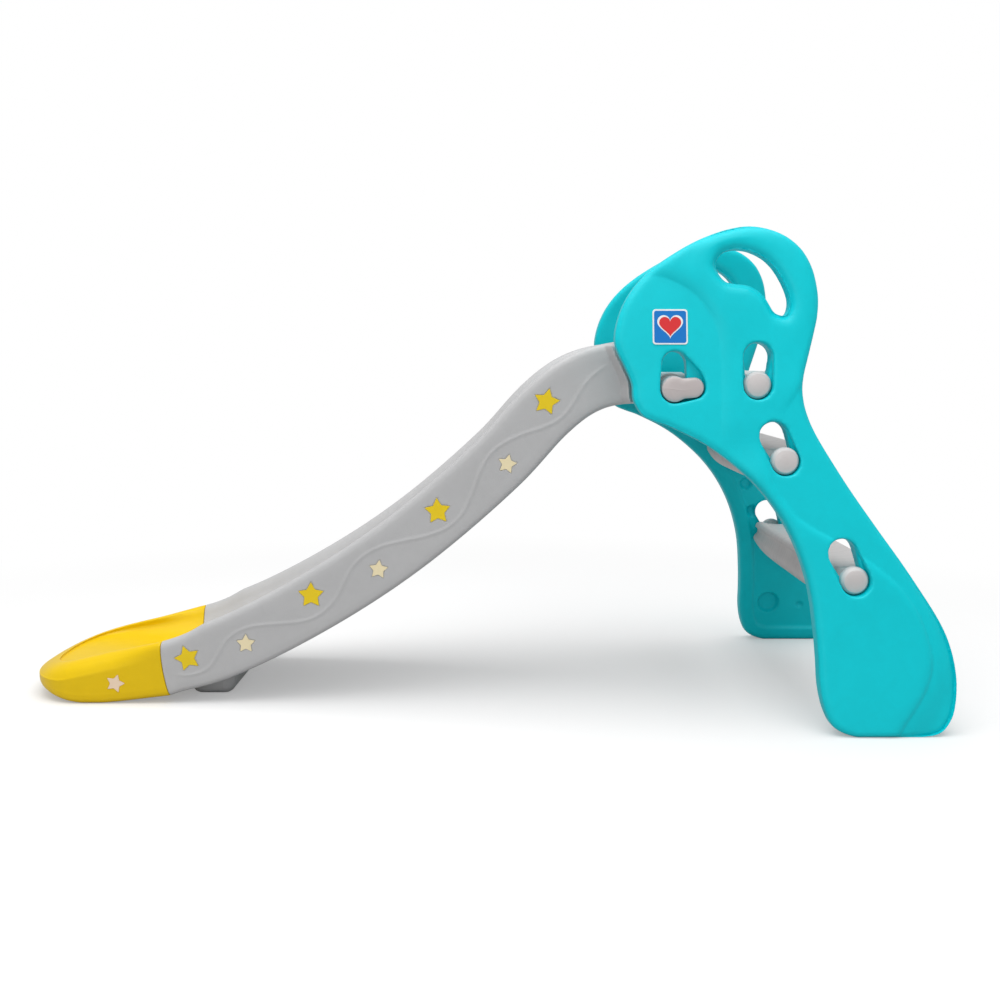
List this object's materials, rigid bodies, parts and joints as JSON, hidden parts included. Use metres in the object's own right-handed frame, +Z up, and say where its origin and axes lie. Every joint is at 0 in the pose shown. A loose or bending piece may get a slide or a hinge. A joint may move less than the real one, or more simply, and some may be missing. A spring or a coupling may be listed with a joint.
{
  "type": "toddler slide",
  "caption": "Folding toddler slide: leaning side panels with handle holes, steps locked in keyholes, and a curved trough chute on a bayonet pivot.",
  "frame": {"origin": "on the floor, under the middle of the slide's length and width", "axes": "+X from the foot of the chute towards the ladder, +Y across the slide, to the side of the left panel, +Z up"},
  "size_m": [1.399, 0.6206, 0.725],
  "materials": {
    "panel_teal": "satin moulded turquoise",
    "label_print": "printed film, blue with a white border and a red heart",
    "tread_grey": "satin moulded light grey, finely ribbed on top",
    "chute_grey": "satin moulded light grey",
    "end_yellow": "satin moulded yellow",
    "screw_steel": "zinc plated",
    "star_yellow": "satin yellow film",
    "star_cream": "satin cream film"
  },
  "bodies": {
    "ladder": {"side_panel_right": "panel_teal", "label_right": "label_print", "side_panel_left": "panel_teal", "label_left": "label_print", "step_upper": "tread_grey", "step_middle": "tread_grey", "step_lower": "tread_grey"},
    "chute": {"chute_upper": "chute_grey", "chute_end": "end_yellow", "chute_screw_1": "screw_steel", "chute_screw_2": "screw_steel", "chute_screw_3": "screw_steel", "chute_screw_4": "screw_steel", "large_star_right_1": "star_yellow", "large_star_right_2": "star_yellow", "large_star_right_3": "star_yellow", "large_star_right_4": "star_yellow", "small_star_right_1": "star_cream", "small_star_right_2": "star_cream", "small_star_right_3": "star_cream", "end_star_right_1": "star_cream", "large_star_left_1": "star_yellow", "large_star_left_2": "star_yellow", "large_star_left_3": "star_yellow", "large_star_left_4": "star_yellow", "small_star_left_1": "star_cream", "small_star_left_2": "star_cream", "small_star_left_3": "star_cream", "end_star_left_1": "star_cream"}
  },
  "joints": [
    {"name": "chute_fold", "type": "hinge", "parent": "ladder", "child": "chute", "pos_m": [0.3035, 0, 0.488], "axis": [0, -1, 0], "range_deg": [0, 84]}
  ]
}
